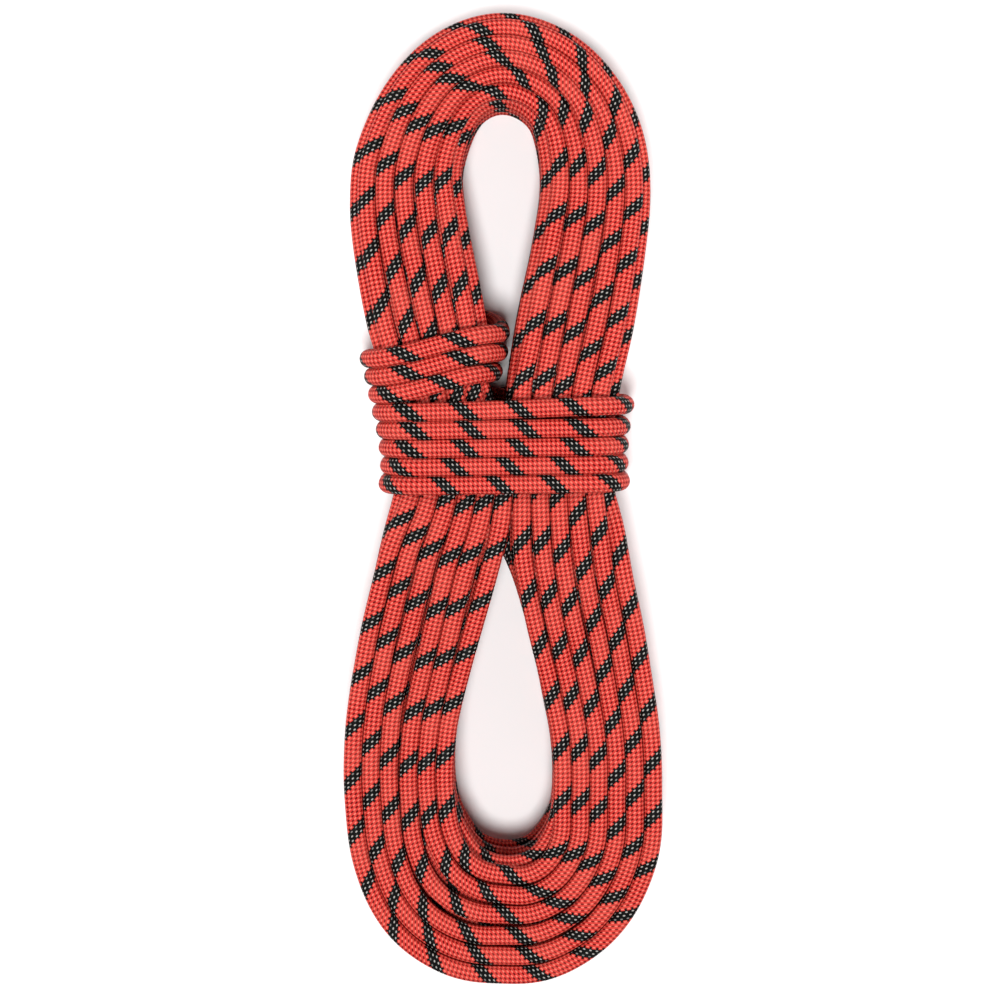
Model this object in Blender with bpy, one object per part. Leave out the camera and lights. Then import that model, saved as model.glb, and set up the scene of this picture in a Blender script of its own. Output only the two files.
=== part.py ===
"""Dynamic climbing rope, 10 mm kernmantle, stored as a wrapped hank that lies on its back.

Metres, +Z up. +Y runs along the hank, from its lower loop to its upper loop, and +X is to the
right when the hank is seen from above with the upper loop at the top. The origin is at the
centre of the footprint, on the surface that the hank lies on.

One rope makes everything: it is wound into a long ring of turns, then wrapped five times round
both legs of the ring and three times round the left leg alone. Its two ends are tucked between
the legs, under the wraps, where each shows how the rope is built: a braided sheath round twelve
core strands and a marker thread, closed by a fused tip and a shrink sleeve.
"""
import math

import bpy
import numpy as np
from mathutils import Vector

MM = 0.001

# The rope
ROPE_DIAMETER = 10.0 * MM
ROPE_RADIUS = ROPE_DIAMETER / 2
SHEATH_WALL = 1.1 * MM
CORE_STRAND_RADIUS = 0.72 * MM
INNER_STRANDS = 3
OUTER_STRANDS = 9
INNER_STRAND_CIRCLE = 1.15 * MM
OUTER_STRAND_CIRCLE = 2.88 * MM
MARKER_RADIUS = 0.22 * MM

# The two ends
SLEEVE_LENGTH = 32.0 * MM
SLEEVE_INNER_RADIUS = 4.75 * MM
SLEEVE_OUTER_RADIUS = 5.10 * MM
SHRUNK_RADIUS = 4.40 * MM
SHRINK_TAPER = 5.0 * MM
TIP_LENGTH = 3.0 * MM
TIP_DOME = 1.2 * MM
GAP = 0.4 * MM

# The hank's section: rows of turns, listed from the top, that nest in each other
ROW_STRANDS = (5, 6, 5, 6, 5, 6)
ROW_PITCH = ROPE_DIAMETER * math.sqrt(3) / 2
HANK_HEIGHT = ROPE_DIAMETER + ROW_PITCH * (len(ROW_STRANDS) - 1)
NARROW_ROW_INSET = 5.4 * MM
NARROW_ROW_HALF = 3.9 * MM
WIDE_ROW_HALF = 2.2 * MM
OUTER_CORNER = 12.0 * MM
LOW_INNER_CORNER = 7.8 * MM
LOW_INNER_START = 6.6 * MM
CORNER_STEPS = 5
HANK_STATIONS = 76

# Middle line of the ring of turns and the width of the turns there: x, y, width in millimetres.
# It runs up the right leg, over the upper loop, down the left leg and round the lower loop.
RING_ROUTE = (
    (29.6, 2.7, 57.8), (29.5, 29.7, 57.4), (31.8, 56.2, 60.2), (35.0, 77.0, 61.0),
    (38.9, 97.7, 62.0), (46.3, 137.2, 60.0), (50.0, 166.9, 57.8), (47.5, 192.2, 56.4),
    (39.4, 212.8, 53.4), (23.0, 227.6, 52.4), (-1.0, 234.6, 52.0), (-24.8, 226.9, 51.4),
    (-41.9, 209.0, 55.0), (-52.4, 182.0, 58.4), (-53.2, 161.5, 61.0), (-50.2, 137.2, 62.6),
    (-43.0, 100.5, 63.0), (-38.7, 82.0, 59.4), (-37.9, 71.0, 55.0), (-37.4, 61.0, 50.6),
    (-33.2, 45.0, 54.0), (-29.6, 27.0, 57.2), (-30.0, 2.7, 58.4), (-34.0, -23.8, 63.4),
    (-39.4, -49.0, 64.0), (-46.0, -76.0, 62.4), (-52.7, -108.5, 57.6), (-55.6, -133.0, 56.4),
    (-55.9, -161.0, 58.4), (-49.4, -188.0, 62.0), (-31.0, -213.8, 66.0), (1.6, -225.4, 70.6),
    (33.4, -214.8, 66.4), (52.0, -187.0, 61.4), (55.7, -158.0, 58.9), (54.6, -130.6, 58.8),
    (50.8, -105.0, 60.2), (44.8, -75.0, 61.6), (39.0, -50.0, 61.6), (33.4, -23.8, 62.2),
)

# The waist wraps lift the legs off the surface, and the two loops sag back down to it
WAIST_LIFT = ROPE_DIAMETER + GAP
LIFT_FULL_Y = (-16.0 * MM, 108.0 * MM)
LIFT_ENDS_Y = (-120.0 * MM, 180.0 * MM)

# Five wraps round both legs
WAIST_TURNS = 5
WAIST_LOW_Y = 2.6 * MM
WAIST_HIGH_Y_LEFT = 51.2 * MM
WAIST_HIGH_Y_RIGHT = 56.4 * MM
WAIST_HALF_WIDTH_LOW = 60.2 * MM
WAIST_HALF_WIDTH_HIGH = 63.6 * MM
WRAP_CORNER = 10.0 * MM
WRAP_THICKNESS = 9.6 * MM

# Three wraps round the left leg: each edge of that collar from its left end to its right end
LEG_TURNS = 3
LEG_LOW_EDGE = ((-64.2 * MM, 52.6 * MM), (-10.4 * MM, 61.6 * MM))
LEG_HIGH_EDGE = ((-70.2 * MM, 79.6 * MM), (-5.8 * MM, 94.6 * MM))

# How a wrapped turn shows in a band's outline: place across the turn, share of the thickness
TURN_OUTLINE = ((0.0, 0.62), (0.14, 0.90), (0.32, 1.0), (0.68, 1.0), (0.86, 0.90))

# Middle lines of the two tucked ends, from the hank to the tip: x, y, z in millimetres. The start
# lies in the groove between the legs, under the waist wraps. The finish comes down between the
# legs and lies under the left leg, beside the leg wraps.
START_TAIL_ROUTE = (
    (-1.7, -27.0, 58.8), (-1.1, -16.0, 58.8), (-0.2, -5.0, 58.8),
    (0.0, 6.0, 58.8), (0.0, 26.0, 58.8), (0.0, 50.0, 58.8),
)
FINISH_TAIL_ROUTE = (
    (1.0, 102.1, 56.0), (1.0, 102.1, 42.0), (1.0, 102.1, 28.0), (-1.4, 101.5, 17.6),
    (-5.2, 100.7, 11.2), (-12.0, 99.1, 6.6), (-20.0, 97.3, 5.3), (-44.0, 91.7, 5.2),
    (-62.0, 87.6, 5.2),
)
PATH_STATIONS = 60
TAIL_STATIONS = 15
SHEATH_SIDES = 12
STRAND_SIDES = 6

# Materials: colour, roughness
SHEATH_RED = ((0.74, 0.07, 0.06, 1.0), 0.62)
CORE_WHITE = ((0.86, 0.85, 0.81, 1.0), 0.70)
MARKER_BLUE = ((0.05, 0.16, 0.42, 1.0), 0.60)
SLEEVE_BLACK = ((0.02, 0.02, 0.022, 1.0), 0.42)
TIP_DARK_RED = ((0.30, 0.03, 0.03, 1.0), 0.35)


def clear_scene():
    for old in list(bpy.data.objects):
        bpy.data.objects.remove(old, do_unlink=True)


def material(name, finish):
    colour, roughness = finish
    made = bpy.data.materials.new(name)
    made.use_nodes = True
    shader = made.node_tree.nodes["Principled BSDF"]
    shader.inputs["Base Color"].default_value = colour
    shader.inputs["Roughness"].default_value = roughness
    shader.inputs["Metallic"].default_value = 0.0
    made.diffuse_color = colour
    return made


def add_node(name, points, faces, finish):
    mesh = bpy.data.meshes.new(name)
    mesh.from_pydata([tuple(float(value) for value in point) for point in points], [], faces)
    mesh.materials.append(finish)
    mesh.shade_smooth()
    mesh.set_sharp_from_angle(angle=math.radians(40))
    made = bpy.data.objects.new(name, mesh)
    bpy.context.scene.collection.objects.link(made)
    return made


def through(points, count, closed, run_axes=3):
    """Evenly spaced points on the smooth curve (Catmull-Rom) through the given points.

    Only the first run_axes columns count as distance.
    """
    points = np.array(points, float)
    if closed:
        padded = np.vstack([points[-1:], points, points[:2]])
    else:
        padded = np.vstack([2 * points[0] - points[1], points, 2 * points[-1] - points[-2]])
    steps = np.linspace(0.0, 1.0, 24, endpoint=False)[:, None]
    pieces = []
    for p0, p1, p2, p3 in zip(padded, padded[1:], padded[2:], padded[3:]):
        straight = 2 * p1 + (p2 - p0) * steps
        bent = (2 * p0 - 5 * p1 + 4 * p2 - p3) * steps**2 + (3 * p1 - p0 - 3 * p2 + p3) * steps**3
        pieces.append((straight + bent) / 2)
    fine = np.vstack(pieces + [points[:1] if closed else points[-1:]])
    run = np.linalg.norm(np.diff(fine[:, :run_axes], axis=0), axis=1)
    run = np.concatenate([[0.0], np.cumsum(run)])
    wanted = np.linspace(0.0, run[-1], count, endpoint=not closed)
    return np.stack([np.interp(wanted, run, column) for column in fine.T], axis=1)


def lift_at(y):
    """Height of the turns' underside: full between the wraps, down to nothing at the loops."""
    below = np.clip((y - LIFT_ENDS_Y[0]) / (LIFT_FULL_Y[0] - LIFT_ENDS_Y[0]), 0.0, 1.0)
    above = np.clip((LIFT_ENDS_Y[1] - y) / (LIFT_ENDS_Y[1] - LIFT_FULL_Y[1]), 0.0, 1.0)
    share = min(below, above)
    return WAIST_LIFT * share * share * (3 - 2 * share)


def ring_faces(rings, around, closed):
    """Quads that join each ring of points to the next one, facing out."""
    faces = []
    for ring in range(rings if closed else rings - 1):
        here = ring * around
        there = (ring + 1) % rings * around
        for side in range(around):
            after = (side + 1) % around
            faces.append((here + side, here + after, there + after, there + side))
    return faces


def hank_profile(width):
    """Section of the ring of turns: distance out from its middle line, height over its underside."""
    inner = -width / 2
    outer = width / 2
    points = []
    depth = ROPE_RADIUS
    for strands in ROW_STRANDS:
        narrow = strands == min(ROW_STRANDS)
        inset = NARROW_ROW_INSET if narrow else 0.0
        half = NARROW_ROW_HALF if narrow else WIDE_ROW_HALF
        points.append((inner + inset, HANK_HEIGHT - depth + half))
        points.append((inner + inset, max(HANK_HEIGHT - depth - half, LOW_INNER_START)))
        depth += ROW_PITCH
    points.append((inner + LOW_INNER_CORNER * 0.44, LOW_INNER_CORNER * 0.33))
    points.append((inner + LOW_INNER_CORNER, 0.0))
    for centre_height, first_angle in ((OUTER_CORNER, -90.0), (HANK_HEIGHT - OUTER_CORNER, 0.0)):
        for step in range(CORNER_STEPS):
            angle = math.radians(first_angle + 90.0 * step / (CORNER_STEPS - 1))
            points.append((
                outer - OUTER_CORNER + OUTER_CORNER * math.cos(angle),
                centre_height + OUTER_CORNER * math.sin(angle),
            ))
    points.append((inner + NARROW_ROW_INSET + OUTER_CORNER / 4, HANK_HEIGHT))
    return points


def hank_turns(finish):
    """The closed ring of turns: the outer shape of all of them, open inside both loops."""
    route = through(np.array(RING_ROUTE) * MM, HANK_STATIONS, closed=True, run_axes=2)
    along = np.roll(route[:, :2], -1, axis=0) - np.roll(route[:, :2], 1, axis=0)
    along /= np.linalg.norm(along, axis=1)[:, None]
    points = []
    for (x, y, width), (along_x, along_y) in zip(route, along):
        for out, height in hank_profile(width):
            place_y = y - out * along_x
            points.append((x + out * along_y, place_y, lift_at(y) + height))
    around = len(points) // HANK_STATIONS
    faces = ring_faces(HANK_STATIONS, around, closed=True)
    return add_node("hank_turns", points, [face[::-1] for face in faces], finish)


def rounded_section(half_width, low, high, corner):
    """Closed outline with round corners: (across, height, outward across, outward height)."""
    outline = []
    corners = (
        (half_width - corner, low + corner, -90.0),
        (half_width - corner, high - corner, 0.0),
        (corner - half_width, high - corner, 90.0),
        (corner - half_width, low + corner, 180.0),
    )
    for across, height, first_angle in corners:
        for step in range(CORNER_STEPS):
            angle = math.radians(first_angle + 90.0 * step / (CORNER_STEPS - 1))
            outline.append((
                across + corner * math.cos(angle),
                height + corner * math.sin(angle),
                math.cos(angle),
                math.sin(angle),
            ))
    return outline


def wrap_band(name, turns, low_edge, high_edge, finish):
    """A band of side-by-side wraps round a leg or both legs.

    low_edge and high_edge are its two rims, each from the left end to the right end of the inner
    face. The outer face bulges once for each turn.
    """
    outline = []
    for turn in range(turns):
        outline += [((turn + place) / turns, share) for place, share in TURN_OUTLINE]
    outline.append((1.0, TURN_OUTLINE[0][1]))
    outline += [(1.0, 0.0), (0.0, 0.0)]
    low_left, low_right = (np.array(end) for end in low_edge)
    high_left, high_right = (np.array(end) for end in high_edge)
    rings = []
    for across_band, share in outline:
        left = low_left + (high_left - low_left) * across_band
        right = low_right + (high_right - low_right) * across_band
        middle = (left + right) / 2
        half = (right - left) / 2
        half_width = np.linalg.norm(half)
        section = rounded_section(
            half_width, WAIST_LIFT - GAP, WAIST_LIFT + HANK_HEIGHT + GAP, WRAP_CORNER
        )
        rings.append([
            (*(middle + half / half_width * (across + share * WRAP_THICKNESS * out)),
             height + share * (WAIST_LIFT - GAP) * up)
            for across, height, out, up in section
        ])
    around = len(rings[0])
    points = [point for ring in rings for point in ring]
    faces = ring_faces(len(rings), around, closed=True)
    return add_node(name, points, [face[::-1] for face in faces], finish)


def frames_along(path):
    """Two directions across a path at each of its points, turning as little as possible."""
    along = np.gradient(path, axis=0)
    along /= np.linalg.norm(along, axis=1)[:, None]
    side = Vector((0.0, 0.0, 1.0)).cross(Vector(along[0]))
    if side.length < 0.5:
        side = Vector((1.0, 0.0, 0.0))
    side.normalize()
    frames = []
    for direction in along:
        direction = Vector(direction)
        side = (side - direction * side.dot(direction)).normalized()
        frames.append((np.array(side), np.array(direction.cross(side))))
    return frames


def tube(name, path, radii, sides, finish, inner_radius=None, offset=(0.0, 0.0)):
    """A tube along a path: solid with flat ends, or hollow and open at both ends."""
    frames = frames_along(path)

    def rings_at(radius_list):
        made = []
        for point, (side, up), radius in zip(path, frames, radius_list):
            centre = point + side * offset[0] + up * offset[1]
            for step in range(sides):
                angle = 2 * math.pi * step / sides
                made.append(centre + side * radius * math.cos(angle) + up * radius * math.sin(angle))
        return made

    points = rings_at(radii)
    if inner_radius is None:
        faces = ring_faces(len(path), sides, closed=False)
        faces.append(tuple(reversed(range(sides))))
        faces.append(tuple(range(len(points) - sides, len(points))))
    else:
        inner = np.array(rings_at([inner_radius] * len(path))).reshape(len(path), sides, 3)
        points = points + list(inner[::-1].reshape(-1, 3))
        faces = ring_faces(2 * len(path), sides, closed=True)
    return add_node(name, points, faces, finish)


def stretch(path, start, end, count):
    """Evenly spaced points on a path between two distances from its first point."""
    run = np.concatenate([[0.0], np.cumsum(np.linalg.norm(np.diff(path, axis=0), axis=1))])
    wanted = np.linspace(start, end, count)
    return np.stack([np.interp(wanted, run, column) for column in path.T], axis=1)


def fused_tip(name, path, length, finish):
    """The melted plug that seals sheath and core together, with a low dome on its end."""
    radii = [SHRUNK_RADIUS, SHRUNK_RADIUS, SHRUNK_RADIUS * 0.82, SHRUNK_RADIUS * 0.45]
    rises = [0.0, TIP_LENGTH - TIP_DOME, TIP_LENGTH - TIP_DOME * 0.3, TIP_LENGTH]
    centres = np.vstack([stretch(path, length - TIP_LENGTH + rise, length, 2)[0] for rise in rises])
    return tube(name, centres, radii, SHEATH_SIDES, finish)


def rope_end(prefix, route, finishes):
    """A tucked end of the rope: sheath, core strands, marker thread, fused tip and sleeve."""
    sheath_finish, core_finish, marker_finish, sleeve_finish, tip_finish = finishes
    path = through(np.array(route) * MM, PATH_STATIONS, closed=False)
    length = np.linalg.norm(np.diff(path, axis=0), axis=1).sum()
    sheath_end = length - TIP_LENGTH - GAP
    sleeve_start = length - SLEEVE_LENGTH
    body = stretch(path, 0.0, sleeve_start - SHRINK_TAPER - GAP, TAIL_STATIONS)
    shrunk = stretch(path, sleeve_start - GAP, sheath_end, 4)
    radii = [ROPE_RADIUS] * TAIL_STATIONS + [SHRUNK_RADIUS] * len(shrunk)
    sheath_bore = ROPE_RADIUS - SHEATH_WALL
    tube(f"{prefix}_tail_sheath", np.vstack([body, shrunk]), radii, SHEATH_SIDES, sheath_finish,
         inner_radius=sheath_bore)
    core_path = stretch(path, GAP, sheath_end, TAIL_STATIONS)
    core_radii = [CORE_STRAND_RADIUS] * TAIL_STATIONS
    circles = (
        (INNER_STRANDS, INNER_STRAND_CIRCLE, 0.0),
        (OUTER_STRANDS, OUTER_STRAND_CIRCLE, math.pi / OUTER_STRANDS),
    )
    number = 0
    for strands, circle, first_angle in circles:
        for strand in range(strands):
            number += 1
            angle = first_angle + 2 * math.pi * strand / strands
            place = (circle * math.cos(angle), circle * math.sin(angle))
            tube(f"{prefix}_core_strand_{number:02d}", core_path, core_radii, STRAND_SIDES,
                 core_finish, offset=place)
    tube(f"{prefix}_marker_thread", core_path, [MARKER_RADIUS] * TAIL_STATIONS, STRAND_SIDES,
         marker_finish)
    sleeve_path = stretch(path, sleeve_start, length, 6)
    tube(f"{prefix}_end_sleeve", sleeve_path, [SLEEVE_OUTER_RADIUS] * 6, SHEATH_SIDES,
         sleeve_finish, inner_radius=SLEEVE_INNER_RADIUS)
    fused_tip(f"{prefix}_fused_tip", path, length, tip_finish)


def build():
    clear_scene()
    sheath = material("sheath_red", SHEATH_RED)
    finishes = (
        sheath,
        material("core_white", CORE_WHITE),
        material("marker_blue", MARKER_BLUE),
        material("sleeve_black", SLEEVE_BLACK),
        material("tip_dark_red", TIP_DARK_RED),
    )
    hank_turns(sheath)
    wrap_band(
        "waist_wraps",
        WAIST_TURNS,
        ((-WAIST_HALF_WIDTH_LOW, WAIST_LOW_Y), (WAIST_HALF_WIDTH_LOW, WAIST_LOW_Y)),
        ((-WAIST_HALF_WIDTH_HIGH, WAIST_HIGH_Y_LEFT), (WAIST_HALF_WIDTH_HIGH, WAIST_HIGH_Y_RIGHT)),
        sheath,
    )
    wrap_band("leg_wraps", LEG_TURNS, LEG_LOW_EDGE, LEG_HIGH_EDGE, sheath)
    rope_end("start", START_TAIL_ROUTE, finishes)
    rope_end("finish", FINISH_TAIL_ROUTE, finishes)


build()
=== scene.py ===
"""Looks of the dynamic climbing rope: one 10 mm kernmantle rope wound into a wrapped hank.

The whole rope is one line, in metres, in the frame of the CAD model: +Y along the hank, +Z up. It
starts under the waist wraps, makes the turns of the ring, then the waist wraps and the leg wraps,
and ends under the left leg. The line is first laid out from the ring's route, then settled so
that its turns lie beside and on each other, and at last covered with a braided sheath.
"""
import math

import bpy
import numpy as np
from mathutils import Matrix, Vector, kdtree


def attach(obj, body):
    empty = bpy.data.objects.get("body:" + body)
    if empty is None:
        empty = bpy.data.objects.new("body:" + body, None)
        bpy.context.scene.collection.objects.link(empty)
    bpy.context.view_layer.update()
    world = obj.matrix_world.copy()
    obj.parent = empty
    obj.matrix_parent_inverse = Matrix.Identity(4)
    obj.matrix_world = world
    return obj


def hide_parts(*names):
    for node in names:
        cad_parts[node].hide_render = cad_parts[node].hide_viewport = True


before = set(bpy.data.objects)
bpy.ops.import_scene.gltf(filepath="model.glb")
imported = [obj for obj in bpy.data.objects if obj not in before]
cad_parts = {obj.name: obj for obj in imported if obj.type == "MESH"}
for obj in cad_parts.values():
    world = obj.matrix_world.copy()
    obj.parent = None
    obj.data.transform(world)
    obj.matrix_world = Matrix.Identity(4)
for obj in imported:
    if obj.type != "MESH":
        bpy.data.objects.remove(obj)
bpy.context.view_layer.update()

MM = 0.001
SEED = 7

# The rope
DIAMETER = 10.0 * MM
RADIUS = DIAMETER / 2
CORE_RADIUS = 4.3 * MM

# The ring of turns: x and y of its middle line and its width there, in millimetres. It runs up
# the right leg, over the upper loop, down the left leg and round the lower loop.
RING_ROUTE = (
    (29.6, 2.7, 57.8), (29.5, 29.7, 57.4), (31.8, 56.2, 60.2), (35.0, 77.0, 61.0),
    (38.9, 97.7, 62.0), (46.3, 137.2, 60.0), (50.0, 166.9, 57.8), (47.5, 192.2, 56.4),
    (39.4, 213.8, 53.4), (23.0, 230.0, 52.4), (-1.0, 237.3, 52.0), (-24.8, 229.3, 51.4),
    (-41.9, 210.0, 55.0), (-52.4, 182.0, 58.4), (-53.2, 161.5, 61.0), (-50.2, 137.2, 62.6),
    (-43.0, 100.5, 63.0), (-38.7, 82.0, 59.4), (-37.9, 71.0, 55.0), (-37.4, 61.0, 50.6),
    (-33.2, 45.0, 54.0), (-29.6, 27.0, 57.2), (-30.0, 2.7, 58.4), (-34.4, -23.8, 62.6),
    (-40.2, -49.0, 62.4), (-46.6, -76.0, 61.0), (-53.5, -108.5, 56.2), (-56.8, -133.0, 54.4),
    (-57.2, -163.5, 55.8), (-50.8, -193.5, 60.0), (-32.0, -221.6, 65.0), (1.6, -234.0, 70.0),
    (34.4, -222.2, 65.4), (53.8, -192.0, 60.0), (57.2, -159.5, 57.3), (56.0, -130.6, 57.4),
    (51.6, -105.0, 59.2), (45.4, -75.0, 60.8), (39.4, -50.0, 60.8), (33.6, -23.8, 61.8),
)

# The turns nest in each other in rows, listed from the top
ROW_STRANDS = (5, 6, 5, 6, 5, 6)
ROWS = len(ROW_STRANDS)
TURNS = sum(ROW_STRANDS)
WIDEST_ROW = max(ROW_STRANDS)
ROW_PITCH = DIAMETER * math.sqrt(3) / 2

# Where the start joins the ring, and how much of the last turn is left out, in turns
FIRST_PHASE = 0.594
LEAVE_SHARE = 0.066

# Where each turn moves over to the next place, as distances from the ring's first point, and how
# far it swings out where the next place is in another row, in strands
SHIFT_FROM = -78.0 * MM
SHIFT_TO = 20.0 * MM
ROW_CHANGE_SWING = 0.1

# The bights: from where they begin to where they are full, as distances along Y, and how much
# closer the turns are laid there, as a share of their pitch
LOWER_BIGHT_Y = (165 * MM, 215 * MM)
UPPER_BIGHT_Y = (150 * MM, 215 * MM)
LOWER_BIGHT_CLOSER = 0.085
UPPER_BIGHT_CLOSER = 0.11

# How far each row lies inwards at the lower bight, in millimetres
BIGHT_STEPS = (-3.5, 2.5, 2.5, 3.0, 3.5, 4.0)

# How much the turns rise at the upper bight: the middle of a row, its fall towards both sides, and
# each row over the one under it
CROWN_RISE = 5.0 * MM
CROWN_FALL = 7.0 * MM
CROWN_HALF_ROW = 2.5
CROWN_PER_ROW = 0.9 * MM

# How much narrower each turn is pressed where it runs across the upper bight, how much of its
# direction is across where that begins and where it is full, and the same for its place along Y
BIGHT_SQUASH = 0.095
SQUASH_ACROSS = (0.2, 0.7)
SQUASH_Y = (150 * MM, 190 * MM)

# Places where a row opens between two neighbouring turns: row, place between the two, then x, y,
# reach and width of the gap in millimetres. A place beyond the row's end moves the whole row.
OPENINGS = (
    (0, -0.5, -66.0, -110.0, 64.0, 4.0),
    (0, -1.5, -38.0, -214.0, 34.0, 5.0),
    (0, -0.5, -30.0, -232.0, 40.0, 2.4),
    (0, -0.5, -56.0, 160.0, 60.0, 1.6),
    (0, 0.6, 58.0, -150.0, 50.0, 1.6),
    (0, -1.4, 42.0, 120.0, 60.0, 1.8),
    (0, -5.0, 30.0, 50.0, 26.0, -5.0),
    (0, -1.5, 30.0, 50.0, 26.0, 3.0),
)
OPENING_SHARPNESS = 3

# Slight wandering of the turns, sideways and up: waves in a turn, and their size
SIDEWAYS_WAVES = (5.3, 0.8 * MM)
UPWARD_WAVES = (4.1, 0.4 * MM)

# The start lies in the top row's inner place and pushes that row out by half a strand. These are
# the ranges of x and of y over which this fades on the left leg.
START_PLACE = (-3.0, 0)
START_PUSH = 0.5
LEFT_LEG_X = (-20 * MM, 20 * MM)
START_Y = (-8 * MM, 40 * MM)

# The legs are lifted off the surface by the wraps that pass under them
LIFT = 10.4 * MM
LIFT_FULL_Y = (-16.0 * MM, 108.0 * MM)
LIFT_ENDS_Y = (-120.0 * MM, 180.0 * MM)

# Wraps: x and y where each turns round the left side and the right side, in millimetres
WAIST_WRAPS = (
    ((-62.6, 8.2), (62.9, 9.4)),
    ((-61.6, 18.4), (62.2, 19.4)),
    ((-62.8, 28.2), (62.2, 29.4)),
    ((-63.8, 37.6), (62.8, 39.6)),
    ((-66.2, 47.0), (64.9, 51.2)),
)
LEG_WRAPS = (
    ((-68.3, 56.6), (-10.2, 68.8)),
    ((-70.8, 66.2), (-3.0, 79.4)),
    ((-73.0, 75.8), (-1.8, 89.8)),
)
WRAP_GAP = 0.2 * MM
WRAP_LOW = RADIUS
WRAP_HIGH = LIFT + DIAMETER + ROW_PITCH * (ROWS - 1) + RADIUS + WRAP_GAP
WRAP_CORNER = 20.0 * MM
CORNER_STEPS = 7

# Routes of the stretches that aren't coiled, in millimetres
START_ROUTE = (
    (0.0, 50.0, 58.8), (0.0, 38.0, 58.8), (0.0, 26.0, 58.8), (0.0, 14.0, 58.8),
    (0.0, 4.0, 58.8), (-0.6, -5.0, 58.8), (-2.2, -16.0, 58.6), (-4.6, -27.0, 58.4),
)
LEAVE_ROUTE = (
    (13.5, -58.0, 11.6), (9.6, -44.0, 11.0), (2.0, -29.0, 8.6), (-11.0, -14.5, 6.0),
    (-28.0, -3.8, 5.1), (-42.0, 2.4, 5.1),
)
FINISH_ROUTE = (
    (-1.8, 90.4, 34.0), (-2.4, 92.4, 22.0), (-6.4, 95.4, 12.0), (-12.4, 97.0, 7.2),
    (-20.0, 97.3, 5.3), (-30.0, 94.9, 5.2), (-44.0, 91.7, 5.2), (-53.0, 89.7, 5.2),
    (-62.0, 87.6, 5.2),
)

# The rope's ends. The core, the sheath and the sleeve each begin inside the tip, at a share of the
# tip's length.
SLEEVE_LENGTH = 32.0 * MM
SLEEVE_RADIUS = 5.1 * MM
SLEEVE_EDGE_DROP = 0.35 * MM
SLEEVE_EDGE_LENGTH = 2 * MM
SHRUNK_RADIUS = 4.6 * MM
SHRINK_TAPER = 5.0 * MM
TIP_LENGTH = 3.0 * MM
TIP_DOME = 1.2 * MM
TIP_END_SHARE = 0.45
TIP_RINGS = 8
CORE_FROM = 0.9
SHEATH_FROM = 0.8
SLEEVE_FROM = 0.7

# Laying out: distance between points, and points for each span of a smooth curve
SPACING = 5.0 * MM
ROUTE_STEPS = 24
JOIN_STEPS = 12
LINE_STEPS = 8

# Settling: rounds, points held still at both ends, and how freely the start and the wraps move
ROUNDS = 140
HELD_POINTS = 9
START_MOBILITY = 0.5
WRAP_MOBILITY = 0.25

# Contacts: the distance at which turns touch, how far and how often neighbours are looked for, how
# many points of its own stretch a point skips, and how far along the line a contact reaches
CONTACT = DIAMETER * 0.995
SEARCH_REACH = DIAMETER * 1.35
SEARCH_EVERY = 8
SAME_STRETCH = 5
BESIDE = SPACING * 0.75

# In each round: how much of an overlap is pushed away, the power by which a point's contacts share
# it, how much a shift is evened out, how much of it goes back, and how far the rope sinks
PUSH = 0.9
SHARING = 0.75
EVENING = 0.35
RETURN = 0.012 * np.array([1.0, 1.0, 0.4])
SINKING = 0.02 * MM

# Meshes. The outline of a pressed section is a circle at power 2 and squarer above it, and a
# stretch is pressed as far as it runs level.
RING_SPACING = 4.0 * MM
SHORTEST_STEP = 0.2 * MM
SIDES = 20
PRESSED_POWER = 2.5
PRESSED_LEVEL = (0.3, 0.9)

# The sheath is divided before these turns, and before the last stretch, that of the leg wraps
SECTION_TURNS = (0, 1, 2, 3, 4, 5, 7, 9, 11, 13, 16, 20, 24, 28, 31)
LEG_WRAPS_LENGTH = 0.72

# The sheath's braid: yarns each way, the length in which one goes once round, and the yarns that
# make the tracer
CARRIERS = 12
TRACER_PITCH = 29.4 * MM
TRACER_CARRIERS = 3

# Half sizes of the ovals in a cell of the braid, across and along the tracer, in cells
STITCH_SIZE = (0.32, 0.64)
SLOT_SIZE = (0.32, 0.68)
DASH_SIZE = (0.29, 0.49)
KNUCKLE_SIZE = (0.72, 0.46)
KNUCKLE_LEVEL = 0.4
LAST_ROW_DIMMED = 0.5

RED = (0.56, 0.034, 0.027, 1)
# Painted shade in the sunken slots between the stitches
RED_SLOT_SHADE = (0.11, 0.0, 0.0, 1)
# Painted highlight on the raised stitches of the red yarns, and also the paler red of random patches
RED_HIGHLIGHT_AND_PALE = (0.80, 0.17, 0.125, 1)
BLACK = (0.002, 0.002, 0.002, 1)
# Painted highlight on the raised stitches of the dark band
BLACK_HIGHLIGHT = (0.008, 0.008, 0.008, 1)
DASH = (0.37, 0.35, 0.325, 1)
SHADE = (0.0, 0.0, 0.0, 1)

# Plain finishes: colour, roughness, scale of the mottling
CORE_FINISH = ((0.80, 0.79, 0.75, 1), 0.7, 120.0)
SLEEVE_FINISH = ((0.022, 0.022, 0.024, 1), 0.42, 120.0)
TIP_FINISH = ((0.22, 0.03, 0.024, 1), 0.35, 120.0)
FLOOR_FINISH = ((0.95, 0.95, 0.95, 1), 0.8, 4.0)

# View: the width seen at the target, in metres, and the camera's sensor, in millimetres
VIEW_WIDTH = 0.540
VIEW_TARGET = (-2.2 * MM, 0.0, 0.060)
CAMERA_PLACE = (-0.0022, 0.110, 1.56)
SENSOR_WIDTH = 36.0
NEAREST_SEEN = 0.05

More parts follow.
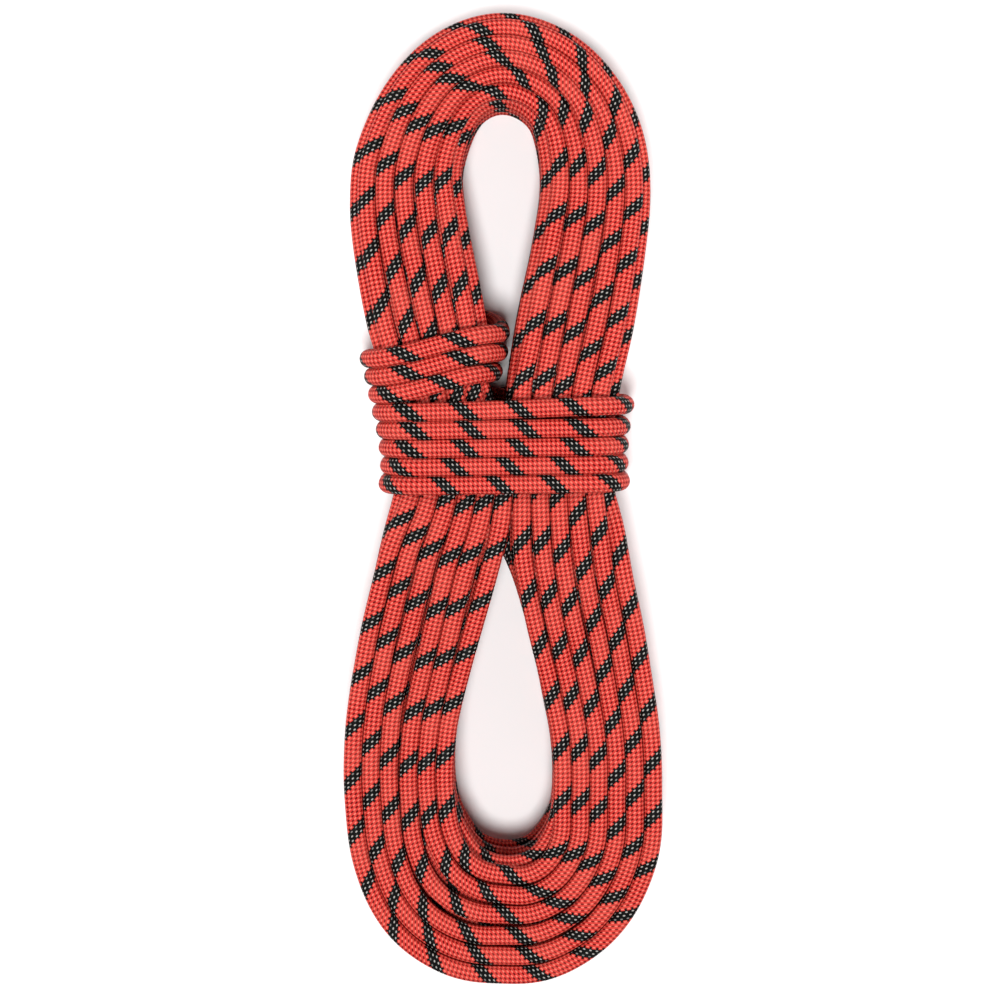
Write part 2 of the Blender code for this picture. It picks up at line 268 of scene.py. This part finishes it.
# Light: a wide key whose shadows are soft, a round lamp on each side, and the room itself
KEY_PLACE = (-0.06, -0.40, 1.88)
KEY_TARGET = (0.0, 0.0, 0.0)
KEY_STRENGTH = 3.1
KEY_ANGLE = math.radians(15)
LAMP_PLACES = {"left": (-1.3, 0.50, 0.90), "right": (1.3, 0.50, 0.90)}
LAMP_TARGET = (0.0, 0.0, 0.03)
LAMP_SIZE = 0.7
LAMP_POWER = 12.0
ROOM_COLOUR = (1.0, 1.0, 1.0, 1)
ROOM_LIGHT = 0.17

FLOOR_SIZE = 12.0
FLOOR_HEIGHT = -0.4 * MM


# ------------------------------------------------------------------ the rope's line


def catmull_rom(points, per_span, closed=False):
    """Points on the smooth curve through the given points, per_span of them for each span."""
    points = np.array(points, float)
    if closed:
        padded = np.vstack([points[-1:], points, points[:2]])
    else:
        padded = np.vstack([2 * points[0] - points[1], points, 2 * points[-1] - points[-2]])
    steps = np.linspace(0.0, 1.0, per_span, endpoint=False)[:, None]
    pieces = []
    for p0, p1, p2, p3 in zip(padded, padded[1:], padded[2:], padded[3:]):
        straight = 2 * p1 + (p2 - p0) * steps
        bent = (2 * p0 - 5 * p1 + 4 * p2 - p3) * steps**2 + (3 * p1 - p0 - 3 * p2 + p3) * steps**3
        pieces.append((straight + bent) / 2)
    return np.vstack(pieces + [points[:1] if closed else points[-1:]])


def run_length(points, axes=3):
    """Distance of each point from the first one, along the line."""
    steps = np.linalg.norm(np.diff(points[:, :axes], axis=0), axis=1)
    return np.concatenate([[0.0], np.cumsum(steps)])


def sampled(field, run, wanted):
    """What is known at the distances run, at the wanted distances."""
    return np.stack([np.interp(wanted, run, column) for column in field.T], axis=1)


def evenly(points, spacing):
    """The same line with its points a fixed distance apart."""
    run = run_length(points)
    count = max(2, int(round(run[-1] / spacing)) + 1)
    return sampled(points, run, np.linspace(0.0, run[-1], count))


def smoothstep(value, low, high):
    share = np.clip((value - low) / (high - low), 0.0, 1.0)
    return share * share * (3 - 2 * share)


def slots():
    """Place of each turn in the bundle: strands out from its middle, row from the top.

    The first place is the start of the rope, inside the top row. The turns then fill each row in
    turn, back and forth, so that each lies beside the one before it.
    """
    places = [START_PLACE]
    outwards = True
    for row, strands in enumerate(ROW_STRANDS):
        across = [index - (strands - 1) / 2 for index in range(strands)]
        places += [(out, row) for out in (across if outwards else across[::-1])]
        outwards = not outwards
    return np.array(places)


def waves(generator, phase, per_turn, size):
    """A smooth wandering of about the given size."""
    total = np.zeros_like(phase)
    for _ in range(3):
        frequency = per_turn * generator.uniform(0.6, 1.5)
        total += np.sin(phase * 2 * math.pi * frequency + generator.uniform(0, 2 * math.pi))
    return total * size / 3


def ring_turns(generator):
    """Line of all the turns of the ring, from the start's last point to where the wraps begin."""
    fine = catmull_rom(np.array(RING_ROUTE) * MM, ROUTE_STEPS, closed=True)
    run = run_length(fine, axes=2)
    around = run[-1]
    first = -1 + FIRST_PHASE
    last = TURNS - LEAVE_SHARE
    phase = np.linspace(first, last, int((last - first) * around / SPACING))
    place = np.mod(phase, 1.0) * around
    x, y, width = sampled(fine, run, place).T
    along = sampled(fine[:, :2], run, np.mod(place + SPACING, around))
    along -= sampled(fine[:, :2], run, np.mod(place - SPACING, around))
    along /= np.linalg.norm(along, axis=1)[:, None]

    nearest = np.round(phase)
    offset = (phase - nearest) * around
    lane = nearest - 1 + smoothstep(offset, SHIFT_FROM, SHIFT_TO)
    lane = np.clip(lane, -1, TURNS - 1)
    places = slots()
    below = np.clip(np.floor(lane).astype(int), -1, TURNS - 2)
    share = (lane - below)[:, None]
    here = places[below + 1] * (1 - share) + places[below + 2] * share
    out, row = here.T
    row_change = np.abs(places[below + 1][:, 1] - places[below + 2][:, 1])
    out += np.sign(out) * row_change * ROW_CHANGE_SWING * np.sin(math.pi * share[:, 0])

    lower_bight = smoothstep(-y, *LOWER_BIGHT_Y)
    upper_bight = smoothstep(y, *UPPER_BIGHT_Y)
    pitch = (width - DIAMETER) / (WIDEST_ROW - 1)
    pitch = pitch * (1 - LOWER_BIGHT_CLOSER * lower_bight - UPPER_BIGHT_CLOSER * upper_bight)
    top_share = np.clip(1 - row, 0, 1)
    left_leg = smoothstep(-x, *LEFT_LEG_X)
    with_start = left_leg * smoothstep(-y, *START_Y)
    with_start = np.maximum(with_start, (1 - left_leg) * smoothstep(-y, -SHIFT_TO, -SHIFT_FROM))
    out_distance = (out + START_PUSH * with_start * top_share) * pitch
    out_distance -= lower_bight * np.interp(row, range(ROWS), BIGHT_STEPS) * MM
    for gap_row, gap_out, gap_x, gap_y, reach, size in OPENINGS:
        near = np.exp(-((x / MM - gap_x) ** 2 + (y / MM - gap_y) ** 2) / reach**2)
        near *= np.clip(1 - np.abs(row - gap_row), 0, 1)
        out_distance += near * size * MM * np.tanh((out - gap_out) * OPENING_SHARPNESS) / 2
    out_distance += waves(generator, phase, *SIDEWAYS_WAVES)

    lift = LIFT * np.minimum(
        smoothstep(y, LIFT_ENDS_Y[0], LIFT_FULL_Y[0]), smoothstep(-y, -LIFT_ENDS_Y[1], -LIFT_FULL_Y[1])
    )
    crown = CROWN_RISE - CROWN_FALL * (np.abs(out) / CROWN_HALF_ROW) ** 2
    crown = upper_bight * crown * (1 - row / ROWS)
    crown += upper_bight * CROWN_PER_ROW * (ROWS - 1 - row)
    height = lift + RADIUS + (ROWS - 1 - row) * ROW_PITCH + crown
    height += waves(generator, phase, *UPWARD_WAVES)
    return np.stack([
        x + along[:, 1] * out_distance,
        y - along[:, 0] * out_distance,
        height,
    ], axis=1)


def wrap_line():
    """Line of the wraps: up the left side, over the front, down the right side, back underneath."""
    wraps = np.array(WAIST_WRAPS + LEG_WRAPS) * MM
    low = WRAP_LOW + WRAP_CORNER
    high = WRAP_HIGH - WRAP_CORNER
    points = []
    for number, (left, right) in enumerate(wraps):
        before = wraps[number - 1, 1] if number else (right[0], left[1])
        corners = [
            (left[0] + WRAP_CORNER, low, 270.0, before, left),
            (left[0] + WRAP_CORNER, high, 180.0, left, right),
            (right[0] - WRAP_CORNER, high, 90.0, left, right),
        ]
        if number + 1 < len(wraps):
            corners.append((right[0] - WRAP_CORNER, low, 0.0, right, wraps[number + 1, 0]))
        for x, z, first_angle, here, there in corners:
            for step in range(CORNER_STEPS):
                angle = math.radians(first_angle - 90.0 * step / (CORNER_STEPS - 1))
                across = x + WRAP_CORNER * math.cos(angle)
                share = smoothstep(across, here[0], there[0])
                y = here[1] + (there[1] - here[1]) * share
                points.append((across, y, z + WRAP_CORNER * math.sin(angle)))
    return np.array(points)


def join(before, after, near, far):
    """A smooth stretch from near the end of one line to near the beginning of the next."""
    guides = np.vstack([before[-8], before[-3], after[near], after[far]])
    return catmull_rom(guides, JOIN_STEPS)[JOIN_STEPS:2 * JOIN_STEPS + 1]


def whole_line():
    """The laid-out line of the rope, and the numbers of the points where the ring starts and ends."""
    generator = np.random.default_rng(SEED)
    start = catmull_rom(np.array(START_ROUTE) * MM, LINE_STEPS)
    ring = ring_turns(generator)
    leave = np.array(LEAVE_ROUTE) * MM
    finish = np.array(FINISH_ROUTE) * MM
    wraps = catmull_rom(np.vstack([leave, wrap_line(), finish]), LINE_STEPS)
    start, ring, wraps = (evenly(part, SPACING) for part in (start, ring, wraps))
    line = np.vstack([
        start[:-3], join(start, ring, 3, 8), ring[4:-3], join(ring, wraps, 1, 5), wraps[2:],
    ])
    start_length = run_length(start)[-1]
    ring_length = run_length(ring)[-1]
    marks = [int(start_length / SPACING), int((start_length + ring_length) / SPACING)]
    return evenly(line, SPACING), marks


# ------------------------------------------------------------------ settling


def unit(vectors):
    return vectors / np.maximum(np.linalg.norm(vectors, axis=-1, keepdims=True), 1e-9)


def tangents(points):
    return unit(np.gradient(points, axis=0))


def near_pairs(points):
    """Index pairs of points near each other that are not on the same stretch of the line."""
    tree = kdtree.KDTree(len(points))
    for index, point in enumerate(points.tolist()):
        tree.insert(point, index)
    tree.balance()
    first, second = [], []
    for index, point in enumerate(points.tolist()):
        for _, other, _ in tree.find_range(point, SEARCH_REACH):
            if other > index + SAME_STRETCH:
                first.append(index)
                second.append(other)
    return np.array(first), np.array(second)


def scatter(indices, vectors, count):
    """For each of the line's points, the sum of the vectors that belong to it."""
    return np.stack([np.bincount(indices, vectors[:, axis], count) for axis in range(3)], axis=1)


def smoothed(field, passes):
    for _ in range(passes):
        inner = (field[:-2] + 2 * field[1:-1] + field[2:]) / 4
        field = np.vstack([field[:1], inner, field[-1:]])
    return field


def narrowed(points):
    """The rope's width across the upper bight, as a share of its diameter."""
    across = smoothstep(np.abs(tangents(points)[:, 0]), *SQUASH_ACROSS)
    return 1 - BIGHT_SQUASH * across * smoothstep(points[:, 1], *SQUASH_Y)


def settle(target, mobility, rounds):
    """Pushes stretches that lie in each other apart, and keeps the line smooth and near its target."""
    points = target.copy()
    count = len(points)
    width = narrowed(target)
    stretch = np.stack([width, width, np.ones(count)], axis=1)
    share = mobility[:, None]
    for number in range(rounds):
        if number % SEARCH_EVERY == 0:
            first, second = near_pairs(points)
        along = tangents(points)
        gap = points[second] - points[first]
        push = np.zeros_like(points)
        touches = np.zeros(count)
        for side in (first, second):
            ahead = (gap * along[side]).sum(axis=1)
            across = gap - ahead[:, None] * along[side]
            distance = np.linalg.norm(across / stretch[side], axis=1)
            close = (np.abs(ahead) < BESIDE) & (distance < CONTACT)
            depth = (CONTACT - distance[close])[:, None]
            move = unit(across[close]) * depth * 0.5
            push += scatter(second[close], move, count) - scatter(first[close], move, count)
            touches += np.bincount(first[close], minlength=count)
            touches += np.bincount(second[close], minlength=count)
        push /= np.maximum(touches, 1)[:, None] ** SHARING
        points += PUSH * push * share
        moved = points - target
        moved += EVENING * share * (smoothed(moved, 3) - moved)
        moved *= 1 - RETURN
        points = target + moved
        points[:, 2] -= SINKING * mobility
        points[:, 2] = np.maximum(points[:, 2], RADIUS)
    return points


# ------------------------------------------------------------------ meshes


def frames(points):
    """Side and up vectors along the line that turn with it without twisting about it."""
    along = tangents(points)
    side = np.zeros_like(points)
    guess = np.cross(along[0], (0.0, 0.0, 1.0))
    side[0] = guess / np.linalg.norm(guess)
    for index in range(1, len(points)):
        guess = side[index - 1] - along[index] * (side[index - 1] @ along[index])
        side[index] = guess / np.sqrt(guess @ guess)
    return side, np.cross(along, side)


def pressed(spokes, points):
    """How much longer each spoke is where the rope is pressed a little square by its neighbours."""
    along = tangents(points)
    upright = np.array([0.0, 0.0, 1.0]) - along * along[:, 2:]
    level = np.linalg.norm(upright, axis=1)
    upright /= np.maximum(level, 0.05)[:, None]
    upward = np.abs((spokes * upright[:, None]).sum(axis=2))
    sideways = np.sqrt(np.clip(1 - upward**2, 0, 1))
    sideways = sideways / narrowed(points)[:, None]
    longer = (upward**PRESSED_POWER + sideways**PRESSED_POWER) ** (-1 / PRESSED_POWER)
    return 1 + (longer - 1) * smoothstep(level, *PRESSED_LEVEL)[:, None]


def tube_mesh(name, stretch, radii, closed_ends, soft):
    """A tube along the line, with its turns and its length in metres as the map RopeUV."""
    points, side, up, run = stretch
    rings = len(points)
    angles = np.arange(SIDES) * 2 * math.pi / SIDES
    spokes = np.cos(angles)[None, :, None] * side[:, None] + np.sin(angles)[None, :, None] * up[:, None]
    lengths = radii[:, None] * (pressed(spokes, points) if soft else 1.0) * np.ones(SIDES)
    vertices = points[:, None] + spokes * lengths[:, :, None]
    base = np.arange(rings - 1)[:, None] * SIDES
    here = np.arange(SIDES)[None]
    after = (here + 1) % SIDES
    faces = np.stack([base + here, base + SIDES + here, base + SIDES + after, base + after], axis=-1)
    polygons = faces.reshape(-1, 4)[:, ::-1].tolist()
    if closed_ends:
        polygons.append(list(range(SIDES)))
        polygons.append(list(range(SIDES * rings - 1, SIDES * (rings - 1) - 1, -1)))
    mesh = bpy.data.meshes.new(name)
    mesh.from_pydata(vertices.reshape(-1, 3).tolist(), [], polygons)
    around = np.array([0, 0, 1, 1])[::-1]
    ahead = np.array([0, 1, 1, 0])[::-1]
    u = (here[..., None] + around) / SIDES + np.zeros((rings - 1, 1, 1))
    v = run[np.arange(rings - 1)[:, None, None] + ahead] + np.zeros((1, SIDES, 1))
    coordinates = np.zeros((len(mesh.loops), 2), np.float32)
    coordinates[: u.size] = np.stack([u.ravel(), v.ravel()], axis=1)
    layer = mesh.uv_layers.new(name="RopeUV")
    layer.data.foreach_set("uv", coordinates.ravel())
    mesh.polygons.foreach_set("use_smooth", [True] * len(mesh.polygons))
    mesh.update()
    piece = bpy.data.objects.new(name, mesh)
    bpy.context.scene.collection.objects.link(piece)
    return piece


# ------------------------------------------------------------------ materials


class Nodes:
    """Short names for the shader nodes that a procedural pattern is made of."""

    def __init__(self, material):
        material.use_nodes = True
        self.tree = material.node_tree
        self.shader = self.tree.nodes["Principled BSDF"]

    def node(self, kind, **settings):
        node = self.tree.nodes.new(kind)
        for name, value in settings.items():
            setattr(node, name, value)
        return node

    def link(self, source, socket):
        """Joins a socket to another node's output, or sets it to a plain value."""
        if hasattr(source, "is_output"):
            self.tree.links.new(source, socket)
        else:
            socket.default_value = source

    def math(self, operation, *values):
        node = self.node("ShaderNodeMath", operation=operation)
        for value, socket in zip(values, node.inputs):
            self.link(value, socket)
        return node.outputs[0]

    def ramp(self, value, low, high, first=0.0, last=1.0):
        """Goes smoothly from first to last while the value goes from low to high."""
        node = self.node("ShaderNodeMapRange", interpolation_type="SMOOTHSTEP")
        for socket, given in zip(node.inputs, (value, low, high, first, last)):
            self.link(given, socket)
        return node.outputs[0]

    def mix(self, share, first, last):
        node = self.node("ShaderNodeMix", data_type="RGBA")
        self.link(share, node.inputs["Factor"])
        self.link(first, node.inputs[6])
        self.link(last, node.inputs[7])
        return node.outputs[2]

    def off_middle(self, value):
        """How far the value is from the middle of its cell."""
        return self.math("ABSOLUTE", self.math("SUBTRACT", self.math("FRACT", value), 0.5))

    def spot(self, across, along, size):
        """1 in the middle of a cell, falling to 0 at the edge of an oval of these half sizes."""
        wide_part = self.math("POWER", self.math("DIVIDE", across, size[0]), 2.0)
        long_part = self.math("POWER", self.math("DIVIDE", along, size[1]), 2.0)
        return self.ramp(self.math("ADD", wide_part, long_part), low=1.0, high=0.25)

    def noise(self, vector, scale, detail):
        node = self.node("ShaderNodeTexNoise")
        self.link(vector, node.inputs["Vector"])
        node.inputs["Scale"].default_value = scale
        node.inputs["Detail"].default_value = detail
        return node.outputs["Fac"]

    def bump(self, height, distance, strength):
        node = self.node("ShaderNodeBump")
        node.inputs["Distance"].default_value = distance
        node.inputs["Strength"].default_value = strength
        self.link(height, node.inputs["Height"])
        self.link(node.outputs[0], self.shader.inputs["Normal"])


def sheath_material():
    """A plain braid of crossing yarns, red, with one band of dark yarns that carries pale dashes."""
    material = bpy.data.materials.new("braided_sheath")
    nodes = Nodes(material)
    place = nodes.node("ShaderNodeUVMap", uv_map="RopeUV").outputs[0]
    split = nodes.node("ShaderNodeSeparateXYZ")
    nodes.link(place, split.inputs[0])
    turns, run = split.outputs[0], split.outputs[1]
    pitches = nodes.math("DIVIDE", run, TRACER_PITCH)

    one_way = nodes.math("MULTIPLY", nodes.math("SUBTRACT", turns, pitches), float(CARRIERS))
    other_way = nodes.math("MULTIPLY", nodes.math("ADD", turns, pitches), float(CARRIERS))
    one_cell = nodes.math("FLOOR", one_way)
    other_cell = nodes.math("FLOOR", other_way)
    one_off = nodes.off_middle(one_way)
    other_off = nodes.off_middle(other_way)
    parity = nodes.math("MULTIPLY", nodes.math("ADD", one_cell, other_cell), 0.5)
    odd = nodes.math("MULTIPLY", nodes.math("FRACT", parity), 2.0)
    even = nodes.math("SUBTRACT", 1.0, odd)

    # Each yarn of the tracer's direction shows as a long stitch, raised and with a painted highlight,
    # with a slot beside it, sunk and with painted shade
    stitch = nodes.math("MULTIPLY", nodes.spot(one_off, other_off, STITCH_SIZE), even)
    slot = nodes.math("MULTIPLY", nodes.spot(one_off, other_off, SLOT_SIZE), odd)
    height = nodes.math("ADD", 0.5, nodes.math("MULTIPLY", stitch, 0.5))
    height = nodes.math("SUBTRACT", height, nodes.math("MULTIPLY", slot, 0.5))

    # The band of dark yarns, with pale dashes, and with dark knuckles along both of its edges
    carrier = nodes.math("FLOORED_MODULO", one_cell, float(CARRIERS))
    before, after, last_row = (
        nodes.math("COMPARE", carrier, float(number), 0.1)
        for number in (CARRIERS - 1, TRACER_CARRIERS, TRACER_CARRIERS - 1)
    )
    inside = nodes.math("LESS_THAN", carrier, TRACER_CARRIERS - 0.5)
    beside = nodes.math("ADD", after, before)
    reach = nodes.math("ABSOLUTE", nodes.math("SUBTRACT", before, nodes.math("FRACT", one_way)))
    knuckle = nodes.math("GREATER_THAN", nodes.spot(reach, other_off, KNUCKLE_SIZE), KNUCKLE_LEVEL)
    knuckle = nodes.math("MULTIPLY", nodes.math("MULTIPLY", knuckle, odd), beside)
    in_band = nodes.math("MAXIMUM", inside, knuckle)
    dash = nodes.math("MULTIPLY", nodes.spot(one_off, other_off, DASH_SIZE), even)
    dimmed = nodes.math("MULTIPLY", last_row, LAST_ROW_DIMMED)
    dash = nodes.math("MULTIPLY", dash, nodes.math("SUBTRACT", 1.0, dimmed))

    where = nodes.node("ShaderNodeTexCoord").outputs["Object"]
    patches = nodes.noise(where, scale=38.0, detail=3.0)
    fibres = nodes.noise(where, scale=900.0, detail=2.0)
    # Painted highlight on the red stitches
    red = nodes.mix(stitch, RED, RED_HIGHLIGHT_AND_PALE)
    # Painted shade in the red slots
    red = nodes.mix(slot, red, RED_SLOT_SHADE)
    red = nodes.mix(nodes.ramp(patches, low=0.35, high=0.7, last=0.14), red, RED_HIGHLIGHT_AND_PALE)
    # Painted highlight on the stitches of the dark yarns
    dark = nodes.mix(stitch, BLACK, BLACK_HIGHLIGHT)
    dark = nodes.mix(dash, dark, DASH)
    colour = nodes.mix(in_band, red, dark)
    colour = nodes.mix(nodes.ramp(fibres, low=0.3, high=0.7, last=0.10), colour, SHADE)
    nodes.link(colour, nodes.shader.inputs["Base Color"])

    height = nodes.math("ADD", height, nodes.math("MULTIPLY", fibres, 0.12))
    nodes.bump(height, distance=0.45 * MM, strength=0.8)
    rough = nodes.ramp(patches, low=0.3, high=0.7, first=0.52, last=0.68)
    nodes.link(rough, nodes.shader.inputs["Roughness"])
    nodes.shader.inputs["Specular IOR Level"].default_value = 0.07
    return material


def plain_material(name, finish):
    """A plain finish with slight mottling."""
    colour, roughness, scale = finish
    material = bpy.data.materials.new(name)
    nodes = Nodes(material)
    where = nodes.node("ShaderNodeTexCoord").outputs["Object"]
    mottle = nodes.noise(where, scale, detail=3.0)
    darker = tuple(0.8 * value for value in colour[:3]) + (1,)
    nodes.link(nodes.mix(mottle, colour, darker), nodes.shader.inputs["Base Color"])
    rough = nodes.ramp(mottle, low=0.3, high=0.7, first=roughness - 0.05, last=roughness + 0.05)
    nodes.link(rough, nodes.shader.inputs["Roughness"])
    nodes.bump(mottle, distance=0.1 * MM, strength=1.0)
    return material


# ------------------------------------------------------------------ camera, light and floor


def add_light(name, kind, place, target, **settings):
    data = bpy.data.lights.new(name, kind)
    for setting, value in settings.items():
        setattr(data, setting, value)
    light = bpy.data.objects.new(name, data)
    light.location = place
    light.rotation_euler = (Vector(target) - Vector(place)).to_track_quat("-Z", "Y").to_euler()
    bpy.context.scene.collection.objects.link(light)


def look():
    """The view from above, a soft key light overhead, a lamp on each side, and a pale floor."""
    scene = bpy.context.scene
    sight = Vector(VIEW_TARGET) - Vector(CAMERA_PLACE)
    camera_data = bpy.data.cameras.new("camera")
    camera_data.sensor_width = SENSOR_WIDTH
    camera_data.lens = SENSOR_WIDTH * sight.length / VIEW_WIDTH
    camera_data.clip_start = NEAREST_SEEN
    camera = bpy.data.objects.new("camera", camera_data)
    camera.location = CAMERA_PLACE
    camera.rotation_euler = (math.atan2(sight.y, -sight.z), 0, 0)
    scene.collection.objects.link(camera)
    scene.camera = camera

    add_light("key", "SUN", KEY_PLACE, KEY_TARGET, energy=KEY_STRENGTH, angle=KEY_ANGLE)
    for name, place in LAMP_PLACES.items():
        add_light(
            name, "AREA", place, LAMP_TARGET, shape="DISK", size=LAMP_SIZE, energy=LAMP_POWER
        )

    world = bpy.data.worlds.new("room")
    world.use_nodes = True
    background = world.node_tree.nodes["Background"]
    background.inputs["Color"].default_value = ROOM_COLOUR
    background.inputs["Strength"].default_value = ROOM_LIGHT
    scene.world = world
    scene.view_settings.view_transform = "Standard"

    bpy.ops.mesh.primitive_plane_add(size=FLOOR_SIZE, location=(0, 0, FLOOR_HEIGHT))
    floor = bpy.context.object
    floor.name = "floor"
    floor.data.materials.append(plain_material("floor", FLOOR_FINISH))


# ------------------------------------------------------------------ the rope


def add_piece(name, stretch, radii, material, slot, nodes, closed_ends=False):
    """A tube along a stretch of the line, which is its points, sides, ups and distances."""
    piece = tube_mesh(name, stretch, radii, closed_ends, soft=slot == "sheath")
    piece.data.materials.append(material)
    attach(piece, "root")
    if nodes:
        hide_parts(*nodes)
    return piece


def nodes_named(*words):
    return [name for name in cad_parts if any(word in name for word in words)]


def between(low, high, whole):
    """The stretch of the line from low to high, in metres along it, with points at its very ends."""
    line, side, up, run = whole
    inside = (run > low + SHORTEST_STEP) & (run < high - SHORTEST_STEP)
    wanted = np.concatenate([[low], run[inside], [high]])
    points, side, up = (sampled(field, run, wanted) for field in (line, side, up))
    return points, unit(side), unit(up), wanted


def add_sheath(whole, marks):
    """The sheath, in pieces from the start of the rope to its finish."""
    length = whole[3][-1]
    ring_start, ring_end = (mark * SPACING for mark in marks)
    around = (ring_end - ring_start) / (TURNS + 1 - FIRST_PHASE - LEAVE_SHARE)
    cuts = [ring_start + (turn + 1 - FIRST_PHASE) * around for turn in SECTION_TURNS]
    end = TIP_LENGTH * SHEATH_FROM
    cuts = [end, *cuts, ring_end, length - LEG_WRAPS_LENGTH, length - end]
    replaced = [[] for _ in cuts[1:]]
    replaced[0] = ["hank_turns", "start_tail_sheath"]
    replaced[-2] = ["waist_wraps"]
    replaced[-1] = ["leg_wraps", "finish_tail_sheath"]
    material = sheath_material()
    pieces = []
    for number, (low, high) in enumerate(zip(cuts, cuts[1:])):
        stretch = between(low, high, whole)
        from_end = np.minimum(stretch[3], length - stretch[3])
        radii = SHRUNK_RADIUS + (RADIUS - SHRUNK_RADIUS) * smoothstep(
            from_end, SLEEVE_LENGTH - SHRINK_TAPER, SLEEVE_LENGTH + SHRINK_TAPER
        )
        pieces.append(add_piece(
            f"sheath_{number + 1:02d}", stretch, radii, material, "sheath", replaced[number]
        ))
    return pieces


def add_ends(whole):
    """A shrink sleeve and a fused tip on each end of the rope."""
    line, side, up, run = whole
    length = run[-1]
    sleeve = plain_material("sleeve", SLEEVE_FINISH)
    tip = plain_material("tip", TIP_FINISH)
    pieces = []
    for name, flip in (("start", False), ("finish", True)):
        low, high = TIP_LENGTH * SLEEVE_FROM, SLEEVE_LENGTH
        span = (length - high, length - low) if flip else (low, high)
        stretch = between(*span, whole)
        from_end = (length - stretch[3]) if flip else stretch[3]
        drop = SLEEVE_EDGE_DROP * smoothstep(from_end, high - SLEEVE_EDGE_LENGTH, high)
        pieces.append(add_piece(
            f"{name}_sleeve", stretch, SLEEVE_RADIUS - drop, sleeve, "sleeve",
            [f"{name}_end_sleeve"], closed_ends=True,
        ))
        steps = np.linspace(0.0, 1.0, TIP_RINGS) ** 2
        span = np.sort(length - steps * TIP_LENGTH) if flip else steps * TIP_LENGTH
        cap = [sampled(field, run, span) for field in (line, side, up)]
        from_end = (length - span) if flip else span
        dome = np.sqrt(np.clip(from_end / TIP_DOME, 0, 1))
        radii = SHRUNK_RADIUS * (TIP_END_SHARE + (1 - TIP_END_SHARE) * dome)
        pieces.append(add_piece(
            f"{name}_tip", (*cap, span), radii, tip, "tip", [f"{name}_fused_tip"],
            closed_ends=True,
        ))
    return pieces


def make_rope():
    target, marks = whole_line()
    mobility = np.ones(len(target))
    mobility[: marks[0]] = START_MOBILITY
    mobility[marks[1]:] = WRAP_MOBILITY
    mobility[:HELD_POINTS] = 0.0
    mobility[-HELD_POINTS:] = 0.0
    line = settle(target, mobility, ROUNDS)
    line = evenly(catmull_rom(smoothed(line, 1), 2), RING_SPACING)
    whole = (line, *frames(line), run_length(line))
    length = whole[3][-1]

    stretch = between(TIP_LENGTH * CORE_FROM, length - TIP_LENGTH * CORE_FROM, whole)
    core = add_piece(
        "rope_core", stretch, np.full(len(stretch[0]), CORE_RADIUS),
        plain_material("core", CORE_FINISH), "core",
        nodes_named("core_strand", "marker_thread"), closed_ends=True,
    )
    pieces = add_sheath(whole, marks) + add_ends(whole)


look()
make_rope()
